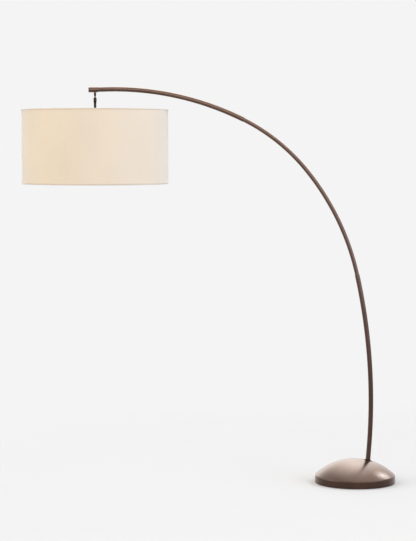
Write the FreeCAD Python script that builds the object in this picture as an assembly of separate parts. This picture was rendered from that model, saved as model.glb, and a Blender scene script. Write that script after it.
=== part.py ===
import FreeCAD, Part
import math
import os

from FreeCAD import Rotation, Vector

# Arc floor lamp: a domed base, a curved arm in three sections and a drum shade on a ball swivel.
# Sizes are in millimetres and angles in degrees. +Z is up and the origin is the centre of the
# base on the floor. The arm's foot lies towards +X, the shade towards -X and the cord inlet at +Y.

# Clearances that several pieces share
thread_gap = 0.05
slip_gap = 0.1
lead_gap = 0.3
overrun = 30.0

# Base: spun cover, cast weight and felt
base_radius = 203.0
skirt_height = 38.0
dome_rise = 82.5
shoulder_radius = 7.0
cover_wall = 1.5
cover_floor_gap = 1.2
cover_bead_radius = 2.0
felt_thickness = 2.0
felt_margin = 5.0
weight_side_gap = 6.5
weight_height = 20.0
weight_edge_radius = 3.0
boss_foot_radius = 34.0
boss_top_radius = 25.0

# Foot of the arm: saddle flange, threaded bush and stud, washers and nut in a pocket
foot_x = 65.0
arm_lean = 4.7
flange_radius = 21.0
flange_thickness = 2.2
flange_edge_radius = 0.8
flange_hub_radius = 13.6
flange_lip = 1.6
bush_length = 34.0
stud_radius = 8.0
stud_bore_radius = 4.5
stud_reach = 28.0
stud_tail = 4.0
stud_hole_gap = 0.4
pocket_radius = 19.0
pocket_roof_depth = 58.0
washer_radius = 15.0
washer_thickness = 3.0
lock_washer_radius = 12.5
lock_washer_thickness = 3.0
lock_washer_slit = 2.0
foot_nut_flats = 24.0
foot_nut_height = 13.0

# Cord inlet and the lead that runs inside the lamp
lead_radius = 2.0
lead_level = 14.0
lead_corner_y = 110.0
lead_corner_bend = 60.0
lead_foot_bend = 16.0
lead_tip_bend = 12.0
channel_half_width = 5.0
channel_headroom = 4.5
grommet_neck_radius = 5.4
grommet_flange_radius = 7.5
grommet_flange_thickness = 1.5
grommet_groove_slack = 0.4

# Arm: three curved tubes, the middle one slimmer and plugged into the other two
arm_radius = 12.0
arm_wall = 1.5
middle_wall = 1.5
sleeve_overlap = 60.0
tube_end_chamfer = 0.4
arm_foot_straight = 45.0
lower_bend_radius = 2975.0
lower_bend_turn = 17.45
middle_bend_radius = 1278.5
middle_bend_turn = 27.38
crown_bend_radius = 955.0
crown_bend_turn = 23.42
upper_bend_radius = 1457.0
upper_bend_turn = 27.98
arm_tip_straight = 40.0
joint_screw_radius = 2.5
joint_screw_length = 5.5
joint_screw_head_radius = 4.2
joint_screw_head_height = 2.2
joint_screw_socket_radius = 1.5
joint_screw_socket_depth = 1.3

# Tip of the arm: cast end fitting with a boss for the swivel, and a screwed end cap
fitting_length = 44.0
fitting_start_radius = 12.9
fitting_end_radius = 13.8
fitting_start_chamfer = 0.6
fitting_spigot_length = 38.0
fitting_bore_radius = 8.0
fitting_boss_radius = 6.6
fitting_boss_drop = 17.6
fitting_boss_fillet = 2.5
cap_length = 7.0
cap_edge_radius = 3.5
cap_groove_width = 0.9
cap_groove_depth = 1.1
cap_plug_length = 8.0
hanger_inset = 32.6

# Ball swivel: ball stud, keyed pins and bell-shaped housing
swing_front_limit = 15.0
collar_radius = 5.5
collar_height = 13.0
collar_chamfer = 1.8
shank_radius = 4.0
shank_length = 6.0
neck_radius = 3.6
neck_drop = 15.0
ball_radius = 6.0
ball_flat_depth = 5.2
ball_gap = 0.15
pin_radius = 1.5
pin_tang_width = 2.0
pin_tang_reach = 4.2
pin_shoulder_gap = 0.1
tang_slot_gap = 0.1
tang_slot_floor = 4.0
tang_slot_margin = 4.0
housing_radius = 7.9
housing_lip_rise = 2.5
housing_mouth_rise = 5.0
housing_mouth_radius = 6.5
housing_crown_radius = 7.1
housing_crown_share = 0.75
housing_cavity_depth = 7.5
housing_skirt_drop = 12.0
housing_waist_drop = 22.0
housing_length_below = 25.0
housing_end_radius = 6.6

# Stem between the swivel and the socket
stem_radius = 6.35
stem_wall = 1.0
nipple_radius = 5.0
nipple_bore_radius = 3.5
nipple_top_drop = 9.5
stem_lead_drop = 6.8

# Drum shade: stiff liner, linen skin, folded hems, wire rings and spider
shade_radius = 368.0
shade_height = 373.5
shade_drop = 53.7
fabric_thickness = 0.8
liner_thickness = 1.0
hem_thickness = 0.7
hem_height = 6.5
hem_inner_height = 8.0
wire_radius = 2.0
spoke_count = 4
spoke_flat_reach = 70.0
spoke_bend = 60.0
spoke_start_radius = 12.5
spoke_notch_half_width = 3.0
fitter_recess = 55.0
hub_radius = 17.0
hub_thickness = 2.5
spider_nut_flats = 17.0
spider_nut_height = 4.0

# Bulb socket with a turn switch
socket_cap_radius = 18.0
socket_cap_wall = 0.9
socket_cap_height = 24.0
socket_cap_collar_radius = 7.6
socket_cap_collar_height = 6.0
socket_cap_collar_depth = 9.0
socket_cap_dome_end = 17.0
shell_wall = 0.5
shell_top_drop = 18.0
shell_length = 44.0
shell_bead_radius = 0.6
sleeve_wall = 0.6
sleeve_length = 41.0
socket_body_gap = 0.2
socket_body_length = 22.0
socket_body_recess_radius = 9.0
socket_body_recess_depth = 3.0
screw_shell_radius = 14.2
screw_shell_wall = 0.4
screw_shell_length = 20.0
contact_length = 12.0
contact_width = 6.0
contact_thickness = 0.5
contact_drop = 2.5
switch_drop = 29.0
switch_hole_radius = 3.6
shaft_radius = 2.5
shaft_inner_end = 5.0
shaft_collar_gap = 2.0
knob_radius = 5.2
knob_length = 12.0
knob_edge_radius = 1.2
knob_flute_count = 10
knob_flute_radius = 0.9

# Bulb: screw cap and frosted glass
bulb_cap_radius = 13.1
bulb_cap_wall = 0.5
bulb_cap_length = 22.0
bulb_tip_radius = 4.5
bulb_tip_height = 3.0
bulb_tip_gap = 0.5
bulb_radius = 30.0
bulb_glass_wall = 1.0
bulb_neck_length = 6.0
bulb_throat_radius = 14.5
bulb_throat_drop = 6.0
bulb_flare_length = 44.0
bulb_flare_radius_share = 0.76
bulb_flare_height_share = 0.5

# Places and sizes worked out from the values above
dome_top = skirt_height + dome_rise
dome_radius = (base_radius ** 2 + dome_rise ** 2) / (2 * dome_rise)
dome_centre = Vector(0, 0, dome_top - dome_radius)
weight_radius = base_radius - cover_wall - weight_side_gap
weight_top = felt_thickness + weight_height
foot_z = dome_centre.z + math.sqrt(dome_radius ** 2 - foot_x ** 2)
foot_point = Vector(foot_x, 0, foot_z)
dome_slope = math.degrees(math.asin(foot_x / dome_radius))
flange_seat_rise = flange_thickness + arm_radius * math.tan(math.radians(dome_slope - arm_lean))
middle_radius = arm_radius - arm_wall - slip_gap
liner_radius = shade_radius - fabric_thickness
liner_inner_radius = liner_radius - liner_thickness
wire_ring_radius = liner_inner_radius - slip_gap - wire_radius
hem_inner_leg_radius = wire_ring_radius - wire_radius - slip_gap


# Shape helpers

def heading_vector(heading):
    """Direction in the arm's plane, turned from +Z towards -X by the heading."""
    angle = math.radians(heading)
    return Vector(-math.sin(angle), 0, math.cos(angle))


def turned(outline):
    """Solid of revolution about Z. A corner is (radius, height); an arc adds the point it passes."""
    edges = []
    start = Vector(outline[0][0], 0, outline[0][1])
    first = start
    for step in outline[1:] + [outline[0]]:
        end = Vector(step[-2], 0, step[-1])
        if len(step) == 4:
            edges.append(Part.Arc(start, Vector(step[0], 0, step[1]), end).toShape())
        elif (end - start).Length > 0:
            edges.append(Part.LineSegment(start, end).toShape())
        start = end
        if end == first:
            break
    face = Part.Face(Part.Wire(edges))
    return face.revolve(Vector(0, 0, 0), Vector(0, 0, 1), 360)


def cap_height(ball, radius):
    """Height of a ball's surface above its centre, at a radius from its axis."""
    return math.sqrt(ball ** 2 - radius ** 2)


def ring(outer, inner, bottom, top):
    """Round tube or washer about Z."""
    return turned([(inner, bottom), (outer, bottom), (outer, top), (inner, top)])


def rod(radius, bottom, top):
    """Round bar about Z."""
    return Part.makeCylinder(radius, top - bottom, Vector(0, 0, bottom))


def placed(shape, origin, direction):
    """Copy of a shape drawn about Z, moved to an origin and turned onto a direction."""
    turn = Rotation(Vector(0, 0, 1), direction)
    copy = shape.copy()
    copy.Placement = FreeCAD.Placement(origin, turn).multiply(copy.Placement)
    return copy


def rounding_inset(radius):
    """How far the middle of a quarter round lies inside its square corner, along each side."""
    return radius * (1 - math.sqrt(0.5))


def hex_prism(across_flats, bottom, top):
    """Hexagonal block about Z with its corners turned off at both ends."""
    corner = across_flats / math.sqrt(3)
    angles = [math.radians(60 * side) for side in range(7)]
    points = [Vector(corner * math.cos(angle), corner * math.sin(angle), bottom) for angle in angles]
    block = Part.Face(Part.makePolygon(points)).extrude(Vector(0, 0, top - bottom))
    half = across_flats / 2
    bevel = (corner - half) / 2
    return block.common(turned([(0, bottom), (half, bottom), (corner, bottom + bevel), (corner, top - bevel),
                                (half, top), (0, top)]))


def swept(edges, radius):
    """Round bar along joined edges."""
    start = edges[0].firstVertex().Point
    direction = edges[0].tangentAt(edges[0].FirstParameter)
    section = Part.Wire(Part.makeCircle(radius, start, direction))
    return Part.Wire(edges).makePipeShell([section], True, False)


def rounded_path(points, bends):
    """Straight runs through points, each inner corner rounded with its own bend radius."""
    edges = []
    start = points[0]
    for before, corner, after, bend in zip(points, points[1:], points[2:], bends):
        into = (corner - before).normalize()
        out = (after - corner).normalize()
        turn = into.getAngle(out)
        cut = bend * math.tan(turn / 2)
        arc_start = corner - into * cut
        arc_end = corner + out * cut
        towards_centre = (out - into).normalize()
        middle = corner + towards_centre * (bend / math.cos(turn / 2) - bend)
        edges.append(Part.LineSegment(start, arc_start).toShape())
        edges.append(Part.Arc(arc_start, middle, arc_end).toShape())
        start = arc_end
    edges.append(Part.LineSegment(start, points[-1]).toShape())
    return edges


def slot_block(first, last, half_width, bottom, top):
    """Upright block with round ends, from one point to another in plan."""
    along = last - first
    block = Part.makeBox(along.Length, 2 * half_width, top - bottom, Vector(0, -half_width, 0))
    block = block.fuse(Part.makeCylinder(half_width, top - bottom))
    block = block.fuse(Part.makeCylinder(half_width, top - bottom, Vector(along.Length, 0, 0)))
    block.rotate(Vector(0, 0, 0), Vector(0, 0, 1), math.degrees(math.atan2(along.y, along.x)))
    block.translate(Vector(first.x, first.y, bottom))
    return block


# Centreline of the arm

class Stretch:
    """One straight or round stretch of the arm's centreline, with its place along the arm."""

    def __init__(self, start, heading, begins, length, bend=None):
        self.start = start
        self.heading = heading
        self.begins = begins
        self.ends = begins + length
        self.bend = bend

    def heading_at(self, station):
        if self.bend is None:
            return self.heading
        return self.heading + math.degrees((station - self.begins) / self.bend)

    def point_at(self, station):
        if self.bend is None:
            return self.start + heading_vector(self.heading) * (station - self.begins)
        centre = self.start + heading_vector(self.heading + 90) * self.bend
        return centre - heading_vector(self.heading_at(station) + 90) * self.bend

    def edge(self, first, last):
        if self.bend is None:
            return Part.LineSegment(self.point_at(first), self.point_at(last)).toShape()
        middle = self.point_at((first + last) / 2)
        return Part.Arc(self.point_at(first), middle, self.point_at(last)).toShape()


def arm_centreline():
    """Stretches from the foot on the dome to the end of the upper tube."""
    plan = [(arm_foot_straight, None),
            (math.radians(lower_bend_turn) * lower_bend_radius, lower_bend_radius),
            (math.radians(middle_bend_turn) * middle_bend_radius, middle_bend_radius),
            (math.radians(crown_bend_turn) * crown_bend_radius, crown_bend_radius),
            (math.radians(upper_bend_turn) * upper_bend_radius, upper_bend_radius),
            (arm_tip_straight, None)]
    stretches = []
    point = foot_point
    heading = -arm_lean
    station = 0
    for length, bend in plan:
        stretch = Stretch(point, heading, station, length, bend)
        stretches.append(stretch)
        station = stretch.ends
        point = stretch.point_at(station)
        heading = stretch.heading_at(station)
    return stretches


arm_line = arm_centreline()
lower_joint = arm_line[1].ends
upper_joint = arm_line[3].ends
arm_end = arm_line[-1].ends
foot_direction = heading_vector(-arm_lean)
tip_point = arm_line[-1].point_at(arm_end)
tip_direction = heading_vector(arm_line[-1].heading)
tip_length = fitting_length + cap_length
hanger_point = tip_point + tip_direction * (tip_length - hanger_inset)
boss_face_z = hanger_point.z - fitting_boss_drop
pivot = Vector(hanger_point.x, 0, boss_face_z - collar_height - neck_drop)
shade_top = pivot.z - shade_drop
shade_bottom = shade_top - shade_height
hub_top = shade_top - fitter_recess
socket_top = hub_top - hub_thickness - spider_nut_height
cup_radius = socket_cap_radius - socket_cap_wall - slip_gap
cup_inner_radius = cup_radius - shell_wall
socket_body_radius = cup_inner_radius - slip_gap - sleeve_wall - socket_body_gap
socket_body_top = socket_top - shell_top_drop - socket_cap_wall
socket_body_bottom = socket_body_top - socket_body_length
bulb_top = socket_body_bottom - contact_drop - contact_thickness - bulb_tip_gap


def arm_edges(first, last):
    """Centreline edges between two stations along the arm."""
    edges = []
    for stretch in arm_line:
        start = max(first, stretch.begins)
        end = min(last, stretch.ends)
        if end > start:
            edges.append(stretch.edge(start, end))
    return edges


def stretch_at(station):
    """Stretch of the centreline that holds a station."""
    return next(part for part in arm_line if station <= part.ends)


def point_on_arm(station):
    """Point of the centreline at a station."""
    return stretch_at(station).point_at(station)


def heading_at(station):
    """Direction of the centreline at a station, from the foot towards the tip."""
    return heading_vector(stretch_at(station).heading_at(station))


# Base

def dome_blank(side_radius, cap_radius, corner_radius, bottom):
    """Solid drum under a round cap, with its shoulder rounded."""
    blank = rod(side_radius, bottom, dome_top).common(Part.makeSphere(cap_radius, dome_centre))
    circles = [edge for edge in blank.Edges if edge.BoundBox.YLength > side_radius]
    shoulder = max(circles, key=lambda edge: edge.BoundBox.ZMin)
    return blank.makeFillet(corner_radius, [shoulder])


def at_foot(shape):
    """Shape drawn about Z, set on the axis of the arm's foot."""
    return placed(shape, foot_point, foot_direction)


def grommet_frame(shape):
    """Shape drawn about Z, set in the rear of the skirt and pointing outwards."""
    return placed(shape, Vector(0, base_radius, lead_level), Vector(0, 1, 0))


def base_cover():
    outer = dome_blank(base_radius, dome_radius, shoulder_radius, cover_floor_gap)
    inner = dome_blank(base_radius - cover_wall, dome_radius - cover_wall, shoulder_radius - cover_wall, 0)
    cover = outer.cut(inner)
    bead = Part.makeTorus(base_radius - cover_bead_radius, cover_bead_radius,
                          Vector(0, 0, cover_floor_gap + cover_bead_radius))
    cover = cover.fuse(bead)
    cover = cover.cut(at_foot(rod(stud_radius + stud_hole_gap, -pocket_roof_depth, overrun)))
    return cover.cut(grommet_frame(rod(grommet_neck_radius + slip_gap, -overrun, overrun)))


def lead_corner_points():
    """Corners of the lead's route inside the base, from the inlet to the foot of the arm."""
    down = (foot_z - lead_level) / foot_direction.z
    under_foot = foot_point - foot_direction * down
    inlet = Vector(0, base_radius + grommet_flange_thickness + grommet_groove_slack, lead_level)
    return [inlet, Vector(0, lead_corner_y, lead_level), under_foot]


def base_weight():
    edge = weight_edge_radius
    soften = rounding_inset(edge)
    disc = turned([(0, felt_thickness), (weight_radius, felt_thickness), (weight_radius, weight_top - edge),
                   (weight_radius - soften, weight_top - soften, weight_radius - edge, weight_top),
                   (0, weight_top)])
    boss_reach = foot_z / foot_direction.z
    boss = at_foot(turned([(0, -boss_reach), (boss_foot_radius, -boss_reach),
                           (boss_top_radius, overrun), (0, overrun)]))
    boss = boss.common(Part.makeSphere(dome_radius - cover_wall - thread_gap, dome_centre))
    boss = boss.common(rod(weight_radius, felt_thickness, dome_top))
    weight = disc.fuse(boss)
    weight = weight.cut(at_foot(rod(pocket_radius, -foot_z - overrun, -pocket_roof_depth)))
    weight = weight.cut(at_foot(rod(stud_radius + stud_hole_gap, -pocket_roof_depth, overrun)))
    inlet, corner, under_foot = lead_corner_points()
    roof = lead_level + channel_headroom
    weight = weight.cut(slot_block(under_foot, corner, channel_half_width, 0, roof))
    return weight.cut(slot_block(corner, inlet, channel_half_width, 0, roof))


def base_felt():
    return rod(weight_radius - felt_margin, 0, felt_thickness)


def arm_foot_flange():
    """Saddle that follows the dome, with a seat that is square to the arm."""
    under = dome_radius + thread_gap
    over = dome_radius + flange_thickness
    edge = flange_edge_radius
    soften = rounding_inset(edge)
    rim_top = cap_height(over, flange_radius)
    plate = turned([
        (0, under), (flange_radius / 2, cap_height(under, flange_radius / 2),
                     flange_radius, cap_height(under, flange_radius)),
        (flange_radius, rim_top - edge),
        (flange_radius - soften, rim_top - soften,
         flange_radius - edge, cap_height(over, flange_radius - edge)),
        (flange_radius / 2, cap_height(over, flange_radius / 2), 0, over)])
    plate = placed(plate, dome_centre, foot_point - dome_centre)
    hub = at_foot(rod(flange_hub_radius, -flange_thickness, flange_seat_rise + flange_lip))
    flange = plate.fuse(hub).cut(Part.makeSphere(under, dome_centre))
    recess = at_foot(rod(arm_radius + slip_gap, flange_seat_rise, flange_seat_rise + overrun))
    bore = at_foot(rod(stud_radius + stud_hole_gap, -overrun, overrun))
    return flange.cut(recess).cut(bore)


def arm_foot_bush():
    bush_radius = arm_radius - arm_wall - slip_gap
    return at_foot(ring(bush_radius, stud_radius, flange_seat_rise, flange_seat_rise + bush_length))


def foot_stack():
    """Heights along the foot axis of the washer, lock washer, nut and end of the stud."""
    washer = -pocket_roof_depth - washer_thickness
    lock_washer = washer - lock_washer_thickness
    nut = lock_washer - foot_nut_height
    return washer, lock_washer, nut, nut - stud_tail


def arm_foot_stud():
    end = foot_stack()[3]
    return at_foot(ring(stud_radius - thread_gap, stud_bore_radius, end, flange_seat_rise + stud_reach))


def foot_washer():
    washer = foot_stack()[0]
    return at_foot(ring(washer_radius, stud_radius + slip_gap, washer, -pocket_roof_depth))


def foot_lock_washer():
    washer, lock_washer = foot_stack()[:2]
    spring = ring(lock_washer_radius, stud_radius + slip_gap, lock_washer, washer)
    slit = Part.makeBox(lock_washer_radius, lock_washer_slit, lock_washer_thickness,
                        Vector(0, -lock_washer_slit / 2, lock_washer))
    return at_foot(spring.cut(slit))


def foot_nut():
    lock_washer, nut = foot_stack()[1:3]
    return at_foot(hex_prism(foot_nut_flats, nut, lock_washer).cut(rod(stud_radius, nut, lock_washer)))


def cord_grommet():
    outside = grommet_flange_thickness + grommet_groove_slack / 2
    inside = -cover_wall - outside
    groove_out = grommet_groove_slack / 2
    groove_in = -cover_wall - grommet_groove_slack / 2
    bore = lead_radius + lead_gap
    return grommet_frame(turned([
        (bore, inside), (grommet_flange_radius, inside), (grommet_flange_radius, groove_in),
        (grommet_neck_radius, groove_in), (grommet_neck_radius, groove_out),
        (grommet_flange_radius, groove_out), (grommet_flange_radius - groove_out, outside), (bore, outside)]))


# Arm

def tube_along(first, last, outer, wall):
    """Round tube between two stations along the arm."""
    edges = arm_edges(first, last)
    return swept(edges, outer).cut(swept(edges, outer - wall))


def end_bevel(station, side):
    """Ring that takes the sharp outer edge off a tube's end; side is 1 where the tube ends there."""
    cut = tube_end_chamfer
    edge = arm_radius
    bevel = turned([(edge - cut, 0), (edge + cut, -2 * cut), (edge + cut, cut), (edge - cut, cut)])
    return placed(bevel, point_on_arm(station), heading_at(station) * side)


def joint_screw_places():
    """Stations of the screws that hold the plugged joints, halfway along each overlap."""
    return [lower_joint - sleeve_overlap / 2, upper_joint + sleeve_overlap / 2]


def at_joint_screw(shape, station):
    """Shape drawn about Z, set on the back of the arm and pointing outwards."""
    return placed(shape, point_on_arm(station), Vector(0, 1, 0))


def arm_lower():
    tube = tube_along(flange_seat_rise, lower_joint, arm_radius, arm_wall)
    tube = tube.cut(end_bevel(lower_joint, 1))
    hole = rod(joint_screw_radius + slip_gap, 0, arm_radius + overrun)
    return tube.cut(at_joint_screw(hole, joint_screw_places()[0]))


def arm_middle():
    tube = tube_along(lower_joint - sleeve_overlap, upper_joint + sleeve_overlap, middle_radius, middle_wall)
    for station in joint_screw_places():
        tube = tube.cut(at_joint_screw(rod(joint_screw_radius, 0, overrun), station))
    return tube


def arm_upper():
    tube = tube_along(upper_joint, arm_end, arm_radius, arm_wall)
    tube = tube.cut(end_bevel(upper_joint, -1))
    hole = rod(joint_screw_radius + slip_gap, 0, arm_radius + overrun)
    return tube.cut(at_joint_screw(hole, joint_screw_places()[1]))


def arm_joint_screws():
    under_head = arm_radius
    top = under_head + joint_screw_head_height
    head_shoulder = joint_screw_head_radius * math.sqrt(0.5)
    thread = joint_screw_radius - thread_gap
    screw = turned([
        (0, under_head - joint_screw_length), (thread, under_head - joint_screw_length), (thread, under_head),
        (joint_screw_head_radius, under_head),
        (head_shoulder, under_head + joint_screw_head_height * math.sqrt(0.5), 0, top)])
    socket = hex_prism(2 * joint_screw_socket_radius, top - joint_screw_socket_depth, top + overrun)
    screw = screw.cut(socket)
    return Part.makeCompound([at_joint_screw(screw, station) for station in joint_screw_places()])


def at_tip(shape):
    """Shape drawn about Z, set at the end of the upper tube and pointing along it."""
    return placed(shape, tip_point, tip_direction)


def arm_tip_fitting():
    spigot_radius = arm_radius - arm_wall - slip_gap
    chamfer = fitting_start_chamfer
    body = at_tip(turned([
        (0, -fitting_spigot_length), (spigot_radius, -fitting_spigot_length), (spigot_radius, 0),
        (fitting_start_radius - chamfer, 0), (fitting_start_radius, chamfer),
        (fitting_end_radius, fitting_length), (0, fitting_length)]))
    boss = Part.makeCylinder(fitting_boss_radius, fitting_boss_drop, Vector(hanger_point.x, 0, boss_face_z))
    body = body.fuse(boss)
    seam = [edge for edge in body.Edges
            if abs(edge.CenterOfMass.x - hanger_point.x) < fitting_boss_radius
            and edge.BoundBox.YLength > fitting_boss_radius
            and boss_face_z + slip_gap < edge.CenterOfMass.z < hanger_point.z]
    body = body.makeFillet(fitting_boss_fillet, seam)
    bore = at_tip(rod(fitting_bore_radius, -fitting_spigot_length - overrun, fitting_length + overrun))
    thread = Part.makeCylinder(shank_radius, fitting_boss_drop, Vector(hanger_point.x, 0, boss_face_z))
    return body.cut(bore).cut(thread)


def arm_tip_cap():
    plug = fitting_bore_radius - thread_gap
    neck = fitting_end_radius - cap_groove_depth
    start = fitting_length
    groove = start + cap_groove_width
    end = start + cap_length
    edge = cap_edge_radius
    soften = rounding_inset(edge)
    return at_tip(turned([
        (0, start - cap_plug_length), (plug, start - cap_plug_length), (plug, start), (neck, start),
        (neck, groove), (fitting_end_radius, groove), (fitting_end_radius, end - edge),
        (fitting_end_radius - soften, end - soften, fitting_end_radius - edge, end), (0, end)]))


def arm_lead():
    """Lead from the inlet through the base and the whole arm down to the ball of the swivel."""
    inlet, corner, under_foot = lead_corner_points()
    edges = rounded_path([inlet, corner, under_foot, foot_point], [lead_corner_bend, lead_foot_bend])
    edges += arm_edges(0, arm_end)
    end = pivot - Vector(0, 0, ball_flat_depth)
    edges += rounded_path([tip_point, hanger_point, end], [lead_tip_bend])
    return swept(edges, lead_radius)


# Swivel

def at_pivot(shape):
    """Shape drawn about Z around the centre of the ball."""
    return placed(shape, pivot, Vector(0, 0, 1))


def ball_stud():
    collar_bottom = neck_drop
    collar_top = collar_bottom + collar_height
    bore = lead_radius + lead_gap
    neck_start = math.sqrt(ball_radius ** 2 - neck_radius ** 2)
    flat_radius = math.sqrt(ball_radius ** 2 - ball_flat_depth ** 2)
    body = turned([
        (bore, -ball_flat_depth), (flat_radius, -ball_flat_depth), (ball_radius, 0, neck_radius, neck_start),
        (neck_radius, collar_bottom - collar_chamfer), (collar_radius, collar_bottom),
        (collar_radius, collar_top), (shank_radius - thread_gap, collar_top),
        (shank_radius - thread_gap, collar_top + shank_length), (bore, collar_top + shank_length)])
    tang_angle = math.degrees(math.atan(pin_tang_width / 2 / pin_tang_reach))
    spread = swing_front_limit + tang_slot_margin + tang_angle
    half_slot = pin_tang_width / 2 + tang_slot_gap
    for side in (-1, 1):
        sector = [Vector(-half_slot, side * tang_slot_floor * math.cos(math.radians(angle)),
                         tang_slot_floor * math.sin(math.radians(angle))) for angle in (-spread, 0, spread)]
        floor = Part.Arc(*sector).toShape()
        far = 2 * ball_radius / tang_slot_floor
        outer = [Vector(-half_slot, point.y * far, point.z * far) for point in sector]
        rim = Part.Arc(*outer).toShape()
        sides = [Part.LineSegment(sector[end], outer[end]).toShape() for end in (0, 2)]
        profile = Part.Face(Part.Wire(Part.sortEdges([floor, rim] + sides)[0]))
        body = body.cut(profile.extrude(Vector(2 * half_slot, 0, 0)))
    return at_pivot(body)


def swivel_pins():
    shoulder = ball_radius + ball_gap + pin_shoulder_gap
    half = pin_tang_width / 2
    pins = []
    for side in (-1, 1):
        shank = placed(rod(pin_radius, shoulder, housing_radius), Vector(0, 0, 0), Vector(0, side, 0))
        tang = Part.makeBox(pin_tang_width, shoulder - pin_tang_reach, pin_tang_width,
                            Vector(-half, min(side * shoulder, side * pin_tang_reach), -half))
        pins.append(at_pivot(shank.fuse(tang)))
    return Part.makeCompound(pins)


def swivel_housing():
    seat = ball_radius + ball_gap
    lip = math.sqrt(seat ** 2 - housing_lip_rise ** 2)
    crown_side = housing_crown_radius + (housing_radius - housing_crown_radius) * housing_crown_share
    seat_angle = math.asin(housing_lip_rise / seat) / 2
    thread = nipple_radius
    bell = turned([
        (thread, -housing_length_below), (housing_end_radius, -housing_length_below),
        (housing_end_radius, -housing_waist_drop), (housing_radius, -housing_skirt_drop), (housing_radius, 0),
        (crown_side, housing_mouth_rise / 2, housing_crown_radius, housing_mouth_rise),
        (housing_mouth_radius, housing_mouth_rise), (lip, housing_lip_rise),
        (seat * math.cos(seat_angle), seat * math.sin(seat_angle), seat, 0),
        (seat, -housing_cavity_depth), (thread, -housing_cavity_depth)])
    hole = placed(rod(pin_radius + thread_gap, -2 * housing_radius, 2 * housing_radius), Vector(0, 0, 0),
                  Vector(0, 1, 0))
    return at_pivot(bell.cut(hole))


# Stem

def stem_tube():
    top = pivot.z - housing_length_below
    return ring(stem_radius, stem_radius - stem_wall, hub_top, top).translated(Vector(pivot.x, 0, 0))


def stem_nipple():
    top = pivot.z - nipple_top_drop
    bottom = socket_top - socket_cap_collar_depth
    pipe = ring(nipple_radius - thread_gap, nipple_bore_radius, bottom, top)
    return pipe.translated(Vector(pivot.x, 0, 0))


def stem_lead():
    """Lead from below the ball down the stem to the socket."""
    top = pivot.z - stem_lead_drop
    bottom = socket_body_top - socket_body_recess_depth
    return rod(lead_radius, bottom, top).translated(Vector(pivot.x, 0, 0))


# Shade

def on_hanger(shape):
    """Shape drawn about Z at its own height, moved onto the axis of the stem."""
    return shape.translated(Vector(pivot.x, 0, 0))


def spoke_angles():
    """Directions of the spokes, evenly round the hub and clear of the arm's plane."""
    return [360 / spoke_count * (index + 0.5) for index in range(spoke_count)]


def sheet_edges():
    """Lower and upper edge of the drum's two sheets, inside the fold of each hem."""
    return shade_bottom + hem_thickness, shade_top - hem_thickness


def shade_liner():
    bottom, top = sheet_edges()
    return on_hanger(ring(liner_radius, liner_inner_radius, bottom, top))


def shade_fabric():
    bottom, top = sheet_edges()
    return on_hanger(ring(shade_radius, liner_radius, bottom, top))


def hem(edge_height, inward):
    """Folded strip over one edge of the drum and its wire ring; inward is -1 at the top edge."""
    outer = shade_radius + hem_thickness
    leg = hem_inner_leg_radius
    skin = edge_height + inward * hem_thickness
    return turned([
        (shade_radius, skin), (shade_radius, edge_height + inward * hem_height),
        (outer, edge_height + inward * hem_height), (outer, edge_height), (leg - hem_thickness, edge_height),
        (leg - hem_thickness, edge_height + inward * hem_inner_height),
        (leg, edge_height + inward * hem_inner_height), (leg, skin)])


def shade_top_hem():
    strip = hem(shade_top, -1)
    notch = Part.makeBox(2 * hem_thickness + wire_radius, 2 * spoke_notch_half_width, hem_inner_height,
                         Vector(hem_inner_leg_radius - 2 * hem_thickness, -spoke_notch_half_width,
                                shade_top - hem_thickness - hem_inner_height))
    for angle in spoke_angles():
        strip = strip.cut(notch.rotated(Vector(0, 0, 0), Vector(0, 0, 1), angle))
    return on_hanger(strip)


def shade_bottom_hem():
    return on_hanger(hem(shade_bottom, 1))


def ring_wire(height):
    return Part.makeTorus(wire_ring_radius, wire_radius, Vector(0, 0, height))


def shade_bottom_ring():
    return on_hanger(ring_wire(shade_bottom + hem_thickness + slip_gap + wire_radius))


def shade_spider():
    ring_height = shade_top - hem_thickness - slip_gap - wire_radius
    hub_middle = hub_top - hub_thickness / 2
    spider = ring_wire(ring_height)
    spider = spider.fuse(ring(hub_radius, nipple_radius + slip_gap, hub_top - hub_thickness, hub_top))
    corners = [Vector(spoke_start_radius, 0, hub_middle), Vector(spoke_flat_reach, 0, hub_middle),
               Vector(wire_ring_radius, 0, ring_height)]
    spoke = swept(rounded_path(corners, [spoke_bend]), wire_radius)
    for angle in spoke_angles():
        spider = spider.fuse(spoke.rotated(Vector(0, 0, 0), Vector(0, 0, 1), angle))
    return on_hanger(spider)


def spider_nut():
    bottom = hub_top - hub_thickness - spider_nut_height
    nut = hex_prism(spider_nut_flats, bottom, bottom + spider_nut_height)
    return on_hanger(nut.cut(rod(nipple_radius, bottom, bottom + spider_nut_height)))


# Socket

def in_socket(shape):
    """Shape drawn downwards from the top of the socket, set on the stem."""
    return shape.translated(Vector(pivot.x, 0, socket_top))


def switch_cut(radius):
    """Round hole through the front of the socket for the switch shaft."""
    return placed(rod(radius, 0, 2 * socket_cap_radius), Vector(0, 0, -switch_drop), Vector(0, -1, 0))


def socket_cap():
    wall = socket_cap_wall
    dome_height = socket_cap_dome_end - socket_cap_collar_height
    collar = socket_cap_collar_radius
    shoulder = math.sqrt(0.5)
    reach = socket_cap_radius - collar
    return in_socket(turned([
        (nipple_radius, 0), (collar, 0), (collar, -socket_cap_collar_height),
        (collar + reach * shoulder, -socket_cap_dome_end + dome_height * shoulder,
         socket_cap_radius, -socket_cap_dome_end),
        (socket_cap_radius, -socket_cap_height), (socket_cap_radius - wall, -socket_cap_height),
        (socket_cap_radius - wall, -socket_cap_dome_end),
        (collar + (reach - wall) * shoulder,
         -socket_cap_dome_end + (dome_height - wall) * shoulder - wall * shoulder / 2,
         collar, -socket_cap_collar_depth),
        (nipple_radius, -socket_cap_collar_depth)]))


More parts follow.
